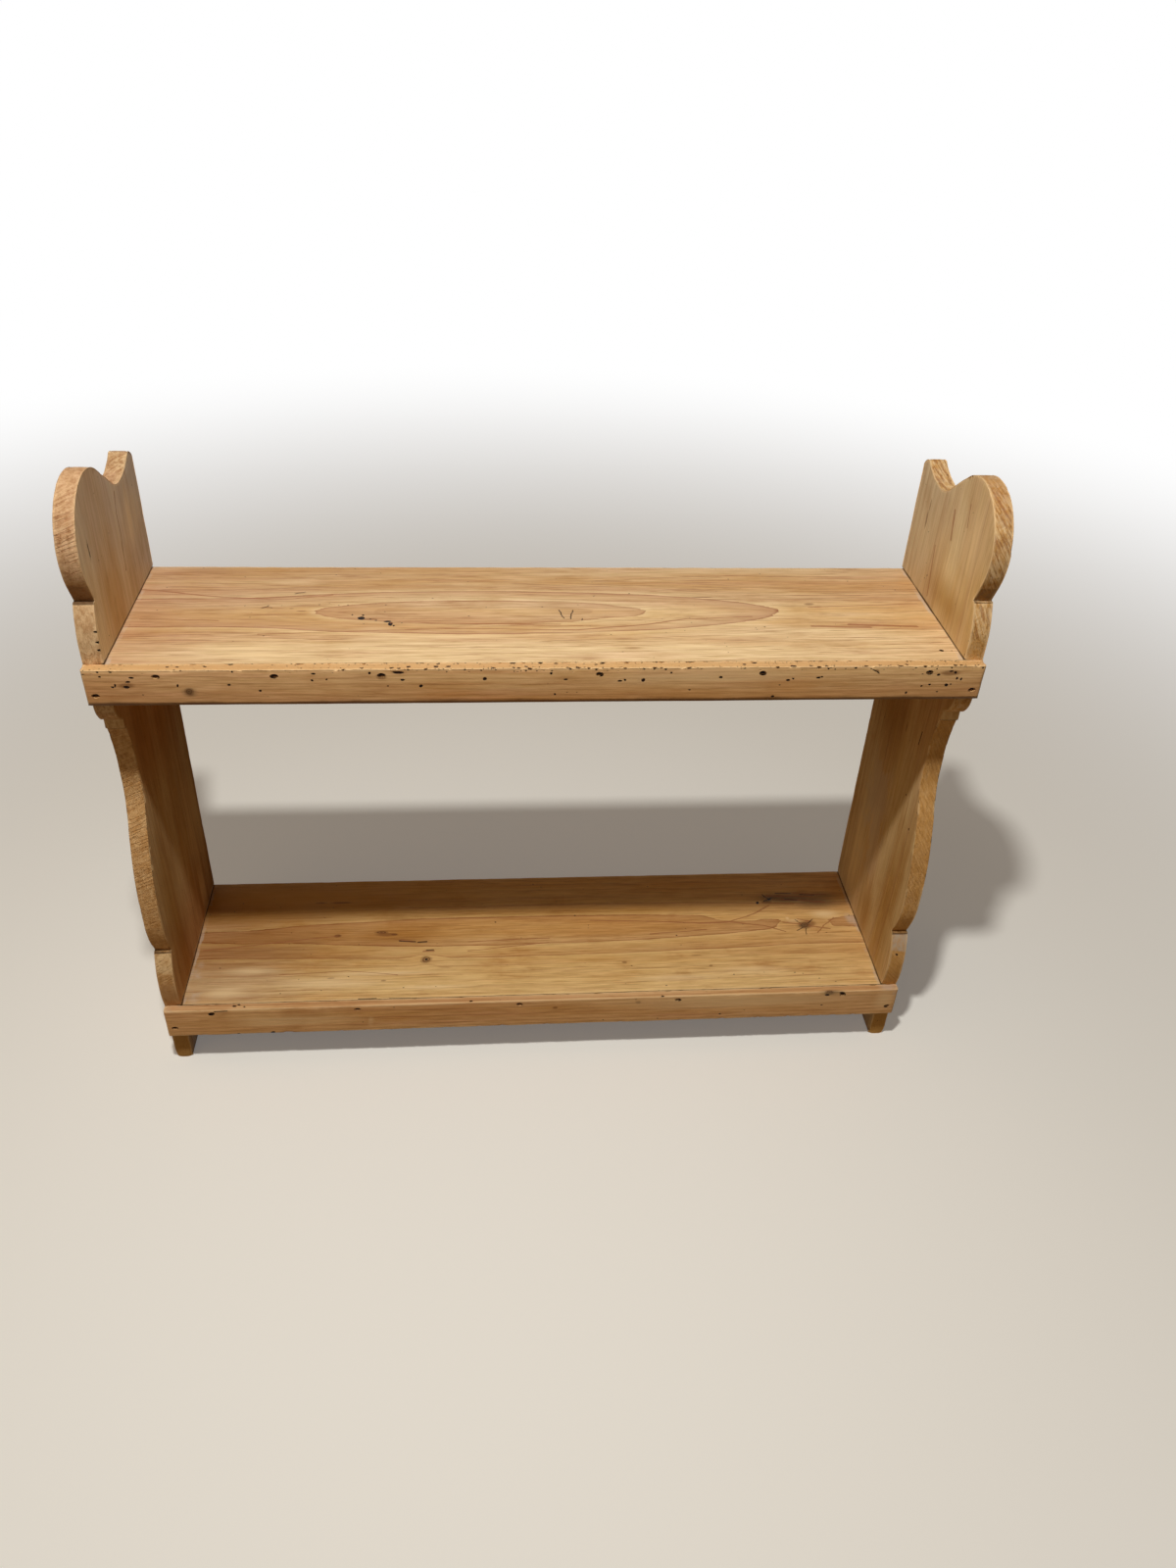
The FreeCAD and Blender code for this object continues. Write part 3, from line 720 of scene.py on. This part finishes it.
upperLipLook = dict(
    upperShelfLook, origin=(0, -0.13125, 0), turn=(math.radians(-90), 0, 0), seed=21, bends=[], wander=(0.006, 0.003),
    ragged=(0.0014, 0.0014), tongueMiddle=0.1, tongueCurve=0.02, pithDepth=0.08, turnBack=(2, 0, 2, 0), pithPlace=0.7,
    ring=5.2, ringEdge=0, quiet=1, latePower=2.6, weakest=0.15, heart=0.25, rimShare=0.1, lineShare=0.45,
    fineShare=0.26, streaks=0.36, paleStreaks=0.18, wax=0.38, fibre=0.15, warm=0.42, cool=0.35, dashes=0.16,
    hairs=0.24, rosy=0.3, wash=(251, 240, 227),
    zones=[(1, 0.63, 0.596, "caramel", 0.45), (0, -0.1, -0.5, "rose", 0.2)], topTone="tan", topShare=0.8,
    wornArris=0.5, knots=[(-395, 604, 5, 5, 2.5)], grainLines=[], paleWoodAndLight=[(190, 618, 120, 12)],
    scratches=[(372, 627, 380, 622, 0.7)],
    stains=[(-185, 622, 6, 4), (-461, 612, 10, 4), (466, 622, 12, 4), (377, 625, 3, 2)],
    smears=[(-395, 603, 8, 6)],
    holes=[(-352, 612, 1.8, 1.4), (-319, 604, 1.6, 1.4), (-260, 626, 2.6, 1), (-261, 617, 1.5, 1.5),
        (-245, 618, 1, 1.2), (-198, 626, 1.4, 1.6), (-167, 627, 6.5, 1.8), (-162, 617, 2.4, 1.4), (-179, 610, 1.2, 1),
        (-142, 610, 2, 2), (-71, 618, 2.2, 2.2), (-347, 629, 1.2, 1.2), (3, 624, 1.4, 1.4), (20, 617, 2.4, 1.2),
        (81, 615, 2.6, 1.2), (87, 616, 1.4, 1.6), (108, 615, 2.2, 2), (139, 624, 1.3, 1.2), (197, 618, 2.2, 1.2),
        (163, 602, 1.5, 1), (275, 614, 2.6, 1.2), (281, 616, 1.3, 1.3), (311, 617, 2.6, 1.4), (315, 618, 1.4, 1),
        (260, 592, 2, 1.6), (8, 597, 1.3, 1.2), (452, 620, 2, 1.4), (464, 606, 2.2, 2.2), (469, 607, 1, 1),
        (475, 614, 1.2, 1.8), (480, 613, 1, 2), (467, 624, 2.6, 1.1), (472, 622, 1.6, 1.6), (444, 607, 1.5, 1.1),
        (435, 605, 1.2, 1.2), (418, 596, 1.2, 2), (455, 596, 1.4, 1), (-454, 622, 2.6, 1), (-459, 617, 2.6, 1.2),
        (-461, 610, 3.2, 1.8), (-473, 612, 1, 2.6), (-476, 610, 1.8, 1), (-488, 624, 1.5, 1), (-407, 612, 1, 2)],
    chipHeight=0.631,
    chips=[(-417, -123, 0.9), (-406, -123, 0.9), (-376, -122, 1), (-350, -117, 1.3), (-227, -130, 1.1),
        (-207, -127, 1), (-175, -127, 1.2), (-167, -128, 1), (-156, -125, 1.2), (-137, -130, 1), (-125, -125, 1.3),
        (-123, -119, 1), (-111, -125, 1.2), (-61, -128, 1.2), (-39, -117, 1.5), (-38, -128, 1), (-32, -129, 1.2),
        (-24, -126, 1), (-20, -130, 1.3), (-8, -118, 1.2), (9, -119, 1.3), (23, -129, 1.2), (34, -129, 1.5),
        (46, -130, 1.2), (54, -122, 1), (61, -119, 1.4), (72, -130, 1.3), (81, -128, 1), (87, -130, 1.2),
        (120, -130, 1.2), (127, -130, 1), (159, -130, 1.4), (167, -130, 1), (196, -129, 1.2), (224, -124, 1),
        (236, -120, 1.4), (237, -129, 1), (261, -130, 1.2), (280, -128, 1.6), (301, -127, 1.1), (310, -130, 1.3),
        (319, -128, 1), (365, -129, 1.2), (382, -127, 1), (405, -129, 1.3), (414, -126, 1), (435, -130, 1.2),
        (443, -130, 1), (471, -128, 1.2), (478, -128, 1)],
    flecks=[((90, 150, 170), 0.14, 0.14, None), ((240, 300, 300), 0.46, 0.46, 0.624)],
    # the dark line along the bottom chamfer is painted shade under the lip
    jointsAndShadeLines=[(1, 0.5862, 0.0046, 0.65, "all")], fillers=[],
)
makeLip("upperLipBoard", "upper_front_lip", upperLipLook, (0.003, 0.005),
        nailPlaces("upper_lip_nails", "upper_lip_end_nails"), 0.0017)

lowerLipLook = dict(
    upperLipLook, origin=(0, -0.13175, 0), seed=33, pithPlace=0.18, wash=(253, 240, 227),
    zones=[(1, 0.11, 0, "caramel", 0.42), (0, 0.2, 0.46, "cream", 0.45), (0, -0.33, -0.5, "cream", 0.35)],
    topTone="caramel", topShare=0.4, rosy=0.3, knots=[(408, 101, 7, 5, 3), (413, 112, 5, 3, 1.5)],
    scratches=[(-440, 101, -424, 101.5, 0.8)], stains=[(137, 94, 4, 3), (20, 88, 4, 2.5), (328, 106, 2, 2)],
    smears=[(412, 103, 16, 7)],
    paleWoodAndLight=[(-350, 80, 90, 12), (-234, 72, 4, 9), (490, 85, 16, 18), (290, 90, 180, 15)],
    holes=[(426, 100, 4, 1.8), (430, 97, 1.2, 3), (405, 97, 3.4, 1.8), (-368, 57, 3, 2), (-413, 56, 2.4, 1.6),
        (400, 77, 1.4, 1.2), (254, 65, 1.6, 1.2)],
    chipHeight=0.103,
    chips=[(-415, -124, 1.4), (-409, -122, 1.1), (-402, -126, 1), (-96, -128, 1.1), (170, -130, 1.2), (413, -114, 2)],
    flecks=[((90, 150, 170), 0.13, 0.12, None)], jointsAndShadeLines=[(1, 0.0545, 0.0016, 0.5, "all")], fillers=[],
    dustAndPaintedLight=[(494, 103, 13, 3, 7, 9), (502, 96, 4, 9, 7, 9), (-497, 103, 10, 3, 7, 9)],
)
makeLip("lowerLipBoard", "lower_front_lip", lowerLipLook, None,
        nailPlaces("lower_lip_nails", "lower_lip_end_nails"), 0.004)


# ends

endWear = {
    "wave": 0.0003, "waveScale": (9, 16, 6),
    "rub": 0.0014, "rubReach": 0.003, "rubScale": (50, 50, 30),
    "nibble": 0.004, "nibbleFrom": 0.64, "nibbleScale": (70, 90, 90),
    "foot": 0.003, "footReach": 0.004, "footHeight": 0.012,
}
endMesh = {"same": 1e-5, "thick": 0.012, "rimStep": 0.0008, "arris": 0.0011,
           "cuts": ((2, 0.007, (0.002, 0.005)), (1, 0.009, (0.002, 0.005)), (0, 0.005, (0.002, 0.0045)))}


def makeEnd(name, node, look):
    bm = bmesh.new()
    bm.from_mesh(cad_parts[node].data)
    bmesh.ops.remove_doubles(bm, verts=bm.verts, dist=endMesh["same"])
    bmesh.ops.dissolve_limit(bm, angle_limit=math.radians(0.5), verts=bm.verts, edges=bm.edges)
    low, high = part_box(node)
    # the rim of the sawn outline: a side face as wide as the board is thick meets a broad face
    rim = []
    for edge in bm.edges:
        if len(edge.link_faces) != 2 or edge.calc_face_angle(0) < math.radians(60):
            continue
        for side, broad in (edge.link_faces, reversed(edge.link_faces)):
            spread = [vert.co.x for vert in side.verts]
            wide = max(spread) - min(spread) > endMesh["thick"]
            if wide and abs(broad.normal.x) > 0.99 and abs(side.normal.x) < 0.1:
                rim.append(edge)
    outlineSpots = []
    for edge in rim:
        first, last = (vert.co for vert in edge.verts)
        pieces = max(1, math.ceil(edge.calc_length() / endMesh["rimStep"]))
        outlineSpots += [first.lerp(last, index / pieces) for index in range(pieces + 1)]
    near = kdtree.KDTree(len(outlineSpots))
    for index, spot in enumerate(outlineSpots):
        near.insert(Vector((0, spot.y, spot.z)), index)
    near.balance()

    def arris(point):
        outline = near.find(Vector((0, point.y, point.z)))[2]
        faces = min(abs(point.x - low.x), abs(point.x - high.x))
        return max(outline, faces)

    roundEdges(bm, rim, endMesh["arris"], 2)
    cutAcross(bm, low, high, endMesh["cuts"])
    weather(bm, arris, endWear)
    finishPiece(bm, name, node, look)


# heights of the notches, of the quirk over the hollow and of the fillet's foot
notches = (0.1935, 0.5475, 0.5325, 0.698)

leftEndLook = dict(
    upperShelfLook, origin=(-0.4855, 0, 0), turn=(0, math.radians(-90), 0), seed=41, bends=[], wander=(0.014, 0.004),
    ragged=(0.0016, 0.0014), tongueMiddle=-0.5, tongueCurve=0.05, pithDepth=0.1, turnBack=(2, 0, 2, 0),
    pithPlace=-0.02, ring=11, ringEdge=0, quiet=1, weakest=0.2, latePower=2, heart=0.4, rimShare=0.1, lineShare=0.2,
    fineRings=3, fineShare=0.08, streaks=0.35, paleStreaks=0.2, wax=0.25, fibre=0.1, warm=0.12, cool=0.35,
    dashes=0.15, hairs=0.12, rosy=0.1, wash=(246, 250, 252), shades=[(-235, -72, 160, 52)],
    zones=[(1, -0.25, 0.1, "caramel", 0.28), (1, 0.02, 0.1, "fillerAndPaleLight", 0.4), (0, -0.66, -0.78, "fillerAndPaleLight", 0.35)],
    cutRange=(0.75, 0.45), cutShare=0.95, edgePale="cream", edgeDeep="caramel", edgeWax=0.4, wornArris=0.3,
    rasped=[(-0.82, -0.72, 20, 0.35), (-0.54, -0.2, 24, 0.3), (-0.195, -0.15, 35, 0.6)],
    edgeZones=[(0, -0.57, -0.54, "honey", 0.45), (0, -0.155, -0.14, "caramel", 0.5), (0, -0.11, -0.05, "olive", 0.7)],
    # the butter bands at the fillet and on the lower neck's top are painted highlights; the umber band under the
    # upper lobe is painted shade
    edgeBands=[(-0.83, -0.7, "rose", 0.35), (-0.72, -0.698, "umber", 0.5), (-0.697, -0.632, "cream", 0.55),
        (-0.547, -0.533, "butter", 0.45), (-0.193, -0.165, "butter", 0.55)],
    # painted shade: the lower bay between the shelves is darkened and warmed with ochre, and the feet are darkened
    shadeZones=[(0, -0.609, -0.103, True, "shadeBrown", 0.12, -0.012), (0, -0.609, -0.36, True, "ochre", 0.5, -0.12),
        (0, -0.103, -0.26, True, "ochre", 0.45, 0.12), (0, -0.056, 0.02, False, "shadeBrown", 0.2, -0.012)],
    grainLines=[(-766, 38, -742, 30, 1.6), (-742, 30, -718, 31, 1.6), (-718, 31, -676, 24, 1.4)],
    # the first two pale patches, at the back of the lower bay, are painted light in the shade
    stains=[(-750, -84, 14, 1.6)], paleWoodAndLight=[(-250, 92, 100, 40), (-150, 80, 50, 36), (-718, 85, 34, 40)],
    scratches=[(-756, -85, -742, -83, 0.8)],
    holes=[(-657, -116, 1.4, 1.4), (-648, -117, 1.4, 1.4), (-669, -115, 1.4, 1.1), (-676, 24, 1.2, 1)],
    flecks=[((110, 160, 160), 0.12, 0.12, None)],
    # dark joints with the shelves; the lines at the notch heights are painted shade in the crevices of the sawn edge
    jointsAndShadeLines=[(0, 0.631, 0.0012, 0.8, "face"), (0, 0.103, 0.0012, 0.8, "face")] + [(0, height, 0.0012, 0.8, "edge") for
        height in notches],
    fillers=[],
)
makeEnd("leftEndBoard", "left_end", leftEndLook)

rightEndLook = dict(
    leftEndLook, origin=(0.4855, 0, 0), turn=(0, math.radians(90), 0), seed=53, tongueMiddle=0.5,
    # the dust patch in the lower bay is painted light in the shade
    wash=(245, 253, 254), dustAndPaintedLight=[(290, 42, 110, 52)],
    zones=[(1, -0.25, 0.15, "golden", 0.4), (1, -0.02, 0.05, "fillerAndPaleLight", 0.3), (0, 0.7, 0.63, "caramel", 0.2),
        (0, 0.68, 0.78, "fillerAndPaleLight", 0.22)],
    paleStreaks=0.25, wornArris=0.6, edgeDeep="honey",
    rasped=[(0.82, 0.715, -58, 0.6), (0.7, 0.655, -68, 0.55), (0.53, 0.2, -60, 0.42), (0.165, 0.11, -50, 0.6)],
    shades=[(225, -72, 185, 56), (145, 0, 60, 60), (455, 60, 80, 75), (660, -28, 26, 60)],
    edgeZones=[(0, 0.57, 0.54, "honey", 0.7), (0, 0.16, 0.145, "honey", 0.5), (0, 0.11, 0.05, "olive", 0.6)],
    # the butter band at the fillet and the pale band on the lower neck's top are painted highlights; the umber band
    # under the upper lobe is painted shade
    edgeBands=[(0.79, 0.83, "latewood", 0.3), (0.698, 0.716, "umber", 0.65), (0.632, 0.66, "olive", 0.4),
        (0.533, 0.547, "butter", 0.7), (0.168, 0.195, "fillerAndPaleLight", 0.95)],
    # painted shade: the lower bay between the shelves is darkened and warmed with ochre, and the feet are darkened
    shadeZones=[(0, 0.609, 0.103, True, "ochre", 0.01, 0.012), (0, 0.609, 0.36, True, "ochre", 0.25, 0.2),
        (0, 0.056, -0.02, False, "shadeBrown", 0.1, 0.012)],
    # the first two pale patches, low at the back of the lower bay, are painted light in the shade
    paleWoodAndLight=[(180, 70, 90, 60), (260, 30, 60, 30), (760, -70, 50, 30)],
    grainLines=[(763, 6, 729, -1, 2.2), (787, -34, 760, -38, 1.2), (703, 40, 640, 30, 1.4)],
    stains=[(463, -2, 8, 1.4), (718, 84, 12, 3), (737, 82, 10, 1.4)], scratches=[(488, -52, 468, -50, 0.9)],
    holes=[(355, -83, 2.2, 1.4), (386, -50, 1.5, 1), (661, 43, 1.2, 1.2), (163, -123, 1.6, 4, 10, 1.8)],
)
makeEnd("rightEndBoard", "right_end", rightEndLook)


# nails

def nailIron():
    g = Finish(bpy.data.materials.new("nailIron"))
    here = g.add("TexCoord").outputs["Object"]
    rust = g.grain(here, (500.0, 500.0, 500.0), 5.0, 4.0, 0.65).outputs["Fac"]
    colour = g.mix(g.fade(rust, 0.42, 0.68), tone(24, 18, 15), tone(70, 38, 22))
    bump = g.add("Bump", {"Height": rust, "Strength": 0.6, "Distance": 0.0005}).outputs[0]
    return g.finish({"Base Color": colour, "Roughness": g.fade(rust, 0.3, 0.7, 0.6, 0.95), "Normal": bump,
                     "Specular IOR Level": 0.2})


iron = nailIron()
for node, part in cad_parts.items():
    if node.endswith("nails"):
        part.data.materials.clear()
        part.data.materials.append(iron)
print("nails finished")


# studio

studio = {
    "lampPlace": (-0.25, -0.825, 2.45), "lampAim": (0.0, 0.0, 0.45), "lampSize": 0.13, "lampPower": 35.7,
    "lampColour": (1.0, 0.99, 0.93),
    "roomColour": (1.0, 0.73, 0.43), "roomLight": 0.057, "brightSide": (-0.85, -0.45, 0.3), "sideLight": 0.3,
    "white": (1.0, 1.0, 1.0, 1.0), "floorWide": 30.0, "floorPaint": (236, 233, 228), "floorFade": (0.8, 3.2),
    "floorGlow": (1.0, 0.99, 0.97, 1.0), "floorLift": 0.14, "floorBounce": (0.3, 0.22, 0.13, 1.0),
}


def makeLamp():
    data = bpy.data.lights.new("ceilingLamp", "AREA")
    data.shape = "DISK"
    data.size = studio["lampSize"]
    data.energy = studio["lampPower"]
    data.color = studio["lampColour"]
    lamp = placed("ceilingLamp", data)
    lamp.location = studio["lampPlace"]
    lamp.rotation_euler = (Vector(studio["lampAim"]) - lamp.location).to_track_quat("-Z", "Y").to_euler()


def seenDirectly(g):
    # 1 for the eye, mirrors and glass, 0 for the light on the object
    path = g.add("LightPath").outputs
    return g.most([path["Is Camera Ray"], path["Is Glossy Ray"], path["Is Transmission Ray"]])


def makeWorld():
    # white to the eye; the object gets a dim warm light, stronger from one side of the room
    world = bpy.data.worlds.new("studioWorld")
    bpy.context.scene.world = world
    g = Finish(world)
    towards = g.add("TexCoord").outputs["Generated"]
    side = g.add("VectorMath", {0: towards, 1: Vector(studio["brightSide"]).normalized()}, operation="DOT_PRODUCT")
    side = g.calc("MAXIMUM", side.outputs["Value"], 0.0)
    strength = g.scaled(side, studio["sideLight"], studio["roomLight"])
    room = g.add("Background", {"Color": studio["roomColour"] + (1.0,), "Strength": strength})
    white = g.add("Background", {"Color": studio["white"], "Strength": 1.0})
    either = g.add("MixShader", {0: seenDirectly(g), 1: room.outputs[0], 2: white.outputs[0]})
    g.add("OutputWorld", {"Surface": either.outputs[0]})


def makeFloor():
    bm = bmesh.new()
    bmesh.ops.create_grid(bm, x_segments=1, y_segments=1, size=studio["floorWide"] / 2)
    mesh = bpy.data.meshes.new("studioFloor")
    bm.to_mesh(mesh)
    bm.free()
    floor = placed("studioFloor", mesh)
    g = Finish(bpy.data.materials.new("paleFloor"))
    here = g.add("TexCoord").outputs["Object"]
    far = g.fade(g.length(here), *studio["floorFade"])
    paint = g.add("BsdfDiffuse", {"Color": tone(*studio["floorPaint"])})
    lift = g.add("Emission", {"Color": studio["floorGlow"], "Strength": studio["floorLift"]})
    near = g.add("AddShader", {0: paint.outputs[0], 1: lift.outputs[0]})
    white = g.add("Emission", {"Color": studio["white"], "Strength": 1.0})
    seen = g.add("MixShader", {0: far, 1: near.outputs[0], 2: white.outputs[0]})
    bounce = g.add("BsdfDiffuse", {"Color": studio["floorBounce"]})
    either = g.add("MixShader", {0: seenDirectly(g), 1: bounce.outputs[0], 2: seen.outputs[0]})
    g.add("OutputMaterial", {"Surface": either.outputs[0]})
    mesh.materials.append(g.owner)


makeLamp()
makeWorld()
makeFloor()

lens = {"place": (-0.07328, -1.27228, 1.2979), "yaw": 6.2, "pitch": 35.78, "roll": 2.818, "focal": 27.04}


def makeCamera():
    yaw, pitch, roll = (math.radians(lens[key]) for key in ("yaw", "pitch", "roll"))
    ahead = Vector((math.sin(yaw), math.cos(yaw), 0.0))
    level = Vector((math.cos(yaw), -math.sin(yaw), 0.0))
    sky = Vector((0.0, 0.0, 1.0))
    forward = ahead * math.cos(pitch) - sky * math.sin(pitch)
    upward = sky * math.cos(pitch) + ahead * math.sin(pitch)
    rightward = level * math.cos(roll) + upward * math.sin(roll)
    upward = upward * math.cos(roll) - level * math.sin(roll)
    data = bpy.data.cameras.new("photoCamera")
    data.sensor_fit = "VERTICAL"
    data.sensor_height = 36.0
    data.lens = lens["focal"]
    data.clip_end = 100.0
    camera = placed("photoCamera", data)
    turn = Matrix((rightward, upward, -forward)).transposed()
    camera.matrix_world = Matrix.Translation(lens["place"]) @ turn.to_4x4()
    bpy.context.scene.camera = camera


makeCamera()
bpy.context.scene.view_settings.view_transform = "Standard"
print("studio ready")
